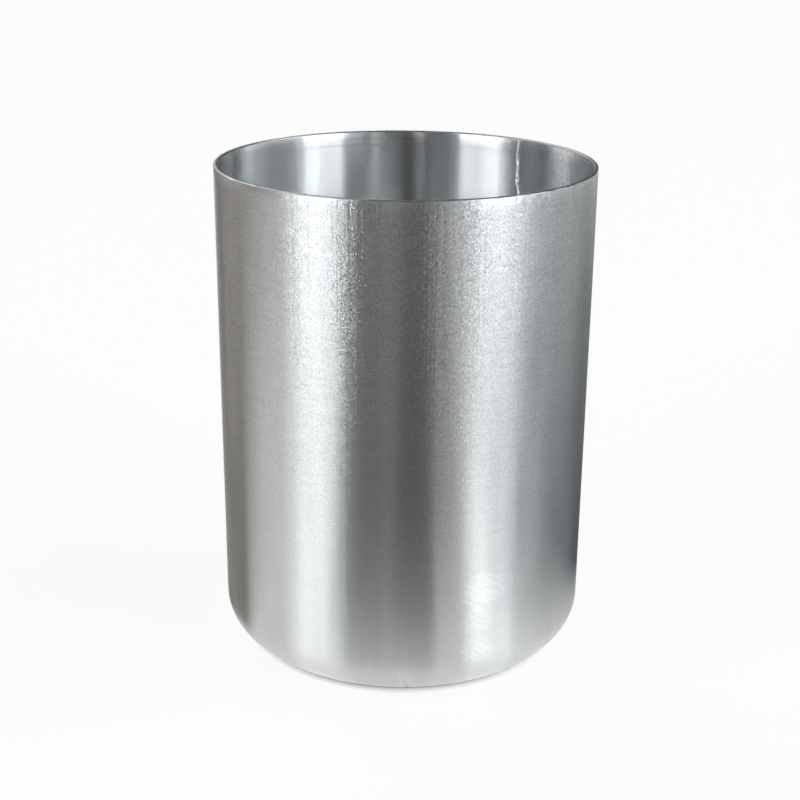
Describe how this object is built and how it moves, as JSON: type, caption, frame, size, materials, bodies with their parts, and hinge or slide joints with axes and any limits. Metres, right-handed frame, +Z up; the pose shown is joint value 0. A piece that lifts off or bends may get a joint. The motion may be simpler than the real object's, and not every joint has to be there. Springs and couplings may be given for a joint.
{
  "type": "deep drawn aluminium cup",
  "caption": "Straight-sided deep drawn aluminium cup: flat base, large round base corner, thin wall and a square-trimmed open mouth.",
  "frame": {"origin": "centre of the underside of the flat base", "axes": "+Z up along the cup's axis, out of the mouth; -Y towards the viewer; +X to the viewer's right"},
  "size_m": [0.0756, 0.0756, 0.1],
  "materials": {
    "drawn_aluminium": "bare as drawn: satin outside with fine upright draw lines and grain, smoother inside"
  },
  "bodies": {
    "root": {"cup": "drawn_aluminium"}
  },
  "joints": []
}
